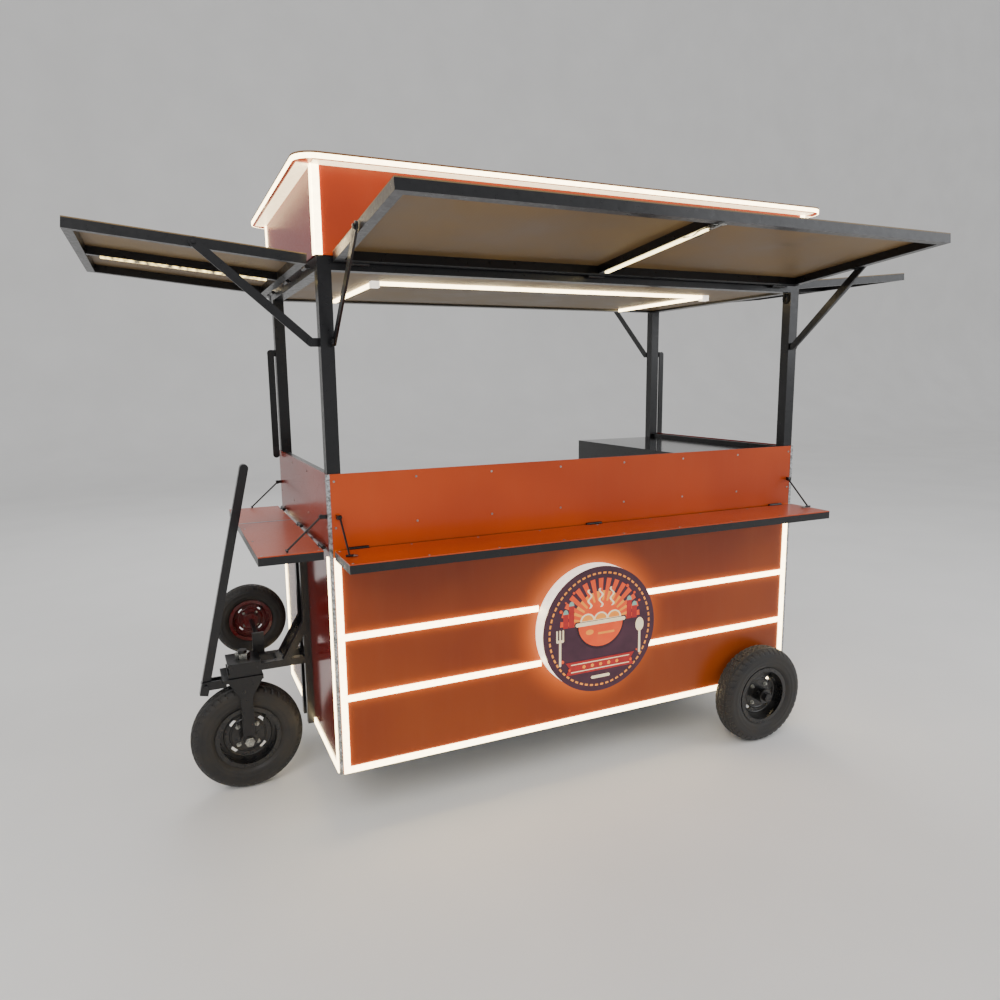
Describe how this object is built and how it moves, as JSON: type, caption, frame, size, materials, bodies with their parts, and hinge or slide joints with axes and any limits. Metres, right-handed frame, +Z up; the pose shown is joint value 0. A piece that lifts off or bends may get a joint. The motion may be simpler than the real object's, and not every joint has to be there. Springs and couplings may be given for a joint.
{
  "type": "push vending cart",
  "caption": "Three-wheeled push vending cart with panelled body, serving shelves, roof on posts, raised awning flaps, light strips, round sign and a folding drawbar.",
  "frame": {"origin": "on the ground under the middle of the body", "axes": "+X along the cart from the steering wheel towards the axle, -Y out of the serving front, +Z up"},
  "size_m": [3.0802, 2.1782, 2.045],
  "materials": {
    "black_frame": "gloss",
    "orange_panel": "gloss",
    "red_panel": "gloss",
    "beige_sheet": "satin",
    "steel_sheet": "brushed",
    "black_counter": "gloss",
    "led": "diffuse",
    "sign_print": "satin",
    "aluminium_trim": "satin",
    "tyre_rubber": "matte",
    "black_rim": "satin",
    "maroon_rim": "gloss",
    "zinc_steel": "satin",
    "driver_case": "satin"
  },
  "bodies": {
    "cart_body": {"base_frame": "black_frame", "ceiling_panel": "beige_sheet", "corner_trims": "aluminium_trim", "cornice": "orange_panel", "end_panels": "red_panel", "floor_panel": "steel_sheet", "front_apron": "orange_panel", "front_panel": "orange_panel", "header_panels": "orange_panel", "hinge_brackets": "black_frame", "led_driver": "driver_case", "light_strips": "led", "panel_screws": "zinc_steel", "post_frame": "black_frame", "prop_brackets": "black_frame", "raised_counter": "black_counter", "rear_axle": "black_frame", "rear_panel": "red_panel", "roof_frame": "black_frame", "side_aprons": "orange_panel", "sign_box": "led", "sign_face": "sign_print", "spare_rim": "maroon_rim", "spare_tyre": "tyre_rubber", "tow_frame": "black_frame", "worktop": "steel_sheet"},
    "front_flap": {"front_flap_frame": "black_frame", "front_flap_sheet": "beige_sheet", "front_flap_light": "led"},
    "rear_flap": {"rear_flap_frame": "black_frame", "rear_flap_sheet": "beige_sheet"},
    "left_flap": {"left_flap_frame": "black_frame", "left_flap_sheet": "beige_sheet", "left_flap_light": "led"},
    "right_flap": {"right_flap_frame": "black_frame", "right_flap_sheet": "beige_sheet"},
    "front_prop_pair": {"front_props": "black_frame"},
    "rear_prop_pair": {"rear_props": "black_frame"},
    "left_front_prop": {"left_front_prop": "black_frame"},
    "left_rear_prop": {"left_rear_prop": "black_frame"},
    "right_front_prop": {"right_front_prop": "black_frame"},
    "right_rear_prop": {"right_rear_prop": "black_frame"},
    "front_shelf": {"front_shelf_frame": "black_frame", "front_shelf_top": "orange_panel"},
    "left_shelf": {"left_shelf_frame": "black_frame", "left_shelf_top": "orange_panel"},
    "front_stay_pair": {"front_stays": "black_frame"},
    "left_stay_pair": {"left_stays": "black_frame"},
    "left_door": {"left_door": "red_panel"},
    "right_door": {"right_door": "red_panel"},
    "front_wheel": {"front_wheel_tyre": "tyre_rubber", "front_wheel_rim": "black_rim"},
    "rear_wheel": {"rear_wheel_tyre": "tyre_rubber", "rear_wheel_rim": "black_rim"},
    "steer_fork": {"steer_fork": "black_frame", "steer_bolts": "zinc_steel"},
    "steer_wheel": {"steer_wheel_tyre": "tyre_rubber", "steer_wheel_rim": "black_rim"},
    "drawbar": {"drawbar": "black_frame"}
  },
  "joints": [
    {"name": "front_flap_hinge", "type": "hinge", "parent": "cart_body", "child": "front_flap", "pos_m": [0, -0.472, 1.763], "axis": [1, 0, 0], "range_deg": [0, 95.5]},
    {"name": "rear_flap_hinge", "type": "hinge", "parent": "cart_body", "child": "rear_flap", "pos_m": [0, 0.472, 1.763], "axis": [-1, 0, 0], "range_deg": [0, 95.5]},
    {"name": "left_flap_hinge", "type": "hinge", "parent": "cart_body", "child": "left_flap", "pos_m": [-0.923, 0, 1.763], "axis": [0, -1, 0], "range_deg": [0, 95.5]},
    {"name": "right_flap_hinge", "type": "hinge", "parent": "cart_body", "child": "right_flap", "pos_m": [0.923, 0, 1.763], "axis": [0, 1, 0], "range_deg": [0, 95.5]},
    {"name": "front_props_pivot", "type": "hinge", "parent": "cart_body", "child": "front_prop_pair", "pos_m": [0, -0.48, 1.543], "axis": [1, 0, 0], "range_deg": [0, 131]},
    {"name": "rear_props_pivot", "type": "hinge", "parent": "cart_body", "child": "rear_prop_pair", "pos_m": [0, 0.48, 1.543], "axis": [-1, 0, 0], "range_deg": [0, 131]},
    {"name": "left_front_prop_pivot", "type": "hinge", "parent": "cart_body", "child": "left_front_prop", "pos_m": [-0.931, 0, 1.543], "axis": [0, -1, 0], "range_deg": [0, 131]},
    {"name": "left_rear_prop_pivot", "type": "hinge", "parent": "cart_body", "child": "left_rear_prop", "pos_m": [-0.931, 0, 1.543], "axis": [0, 1, 0], "range_deg": [0, 131]},
    {"name": "right_front_prop_pivot", "type": "hinge", "parent": "cart_body", "child": "right_front_prop", "pos_m": [0.931, 0, 1.543], "axis": [0, 1, 0], "range_deg": [0, 131]},
    {"name": "right_rear_prop_pivot", "type": "hinge", "parent": "cart_body", "child": "right_rear_prop", "pos_m": [0.931, 0, 1.543], "axis": [0, -1, 0], "range_deg": [0, 131]},
    {"name": "front_shelf_hinge", "type": "hinge", "parent": "cart_body", "child": "front_shelf", "pos_m": [0, -0.472, 0.932], "axis": [-1, 0, 0], "range_deg": [0, 80]},
    {"name": "left_shelf_hinge", "type": "hinge", "parent": "cart_body", "child": "left_shelf", "pos_m": [-0.923, 0, 0.932], "axis": [0, 1, 0], "range_deg": [0, 80]},
    {"name": "front_stays_pivot", "type": "hinge", "parent": "cart_body", "child": "front_stay_pair", "pos_m": [0, -0.48, 1.032], "axis": [-1, 0, 0], "range_deg": [0, 120]},
    {"name": "left_stays_pivot", "type": "hinge", "parent": "cart_body", "child": "left_stay_pair", "pos_m": [-0.931, 0, 1.032], "axis": [0, 1, 0], "range_deg": [0, 120]},
    {"name": "left_door_hinge", "type": "hinge", "parent": "cart_body", "child": "left_door", "pos_m": [-0.91, 0.486, 0.6665], "axis": [0, 0, 1], "range_deg": [0, 110]},
    {"name": "right_door_hinge", "type": "hinge", "parent": "cart_body", "child": "right_door", "pos_m": [0.91, 0.486, 0.6665], "axis": [0, 0, -1], "range_deg": [0, 110]},
    {"name": "front_wheel_spin", "type": "hinge", "parent": "cart_body", "child": "front_wheel", "pos_m": [0.735, -0.52, 0.1905], "axis": [0, 1, 0], "continuous": true},
    {"name": "rear_wheel_spin", "type": "hinge", "parent": "cart_body", "child": "rear_wheel", "pos_m": [0.735, 0.52, 0.1905], "axis": [0, 1, 0], "continuous": true},
    {"name": "steering_swivel", "type": "hinge", "parent": "cart_body", "child": "steer_fork", "pos_m": [-1.145, 0, 0.45], "axis": [0, 0, 1], "range_deg": [-60, 60]},
    {"name": "steer_wheel_spin", "type": "hinge", "parent": "steer_fork", "child": "steer_wheel", "pos_m": [-1.145, 0, 0.1905], "axis": [0, 1, 0], "continuous": true},
    {"name": "drawbar_fold", "type": "hinge", "parent": "steer_fork", "child": "drawbar", "pos_m": [-1.272, 0, 0.398], "axis": [0, -1, 0], "range_deg": [0, 100]}
  ],
  "couplings": [
    {"joint": "front_props_pivot", "follows": "front_flap_hinge", "ratio": 1.3716},
    {"joint": "rear_props_pivot", "follows": "rear_flap_hinge", "ratio": 1.3716},
    {"joint": "left_front_prop_pivot", "follows": "left_flap_hinge", "ratio": 1.3716},
    {"joint": "right_front_prop_pivot", "follows": "right_flap_hinge", "ratio": 1.3716},
    {"joint": "front_stays_pivot", "follows": "front_shelf_hinge", "ratio": 1.5},
    {"joint": "left_stays_pivot", "follows": "left_shelf_hinge", "ratio": 1.5}
  ]
}
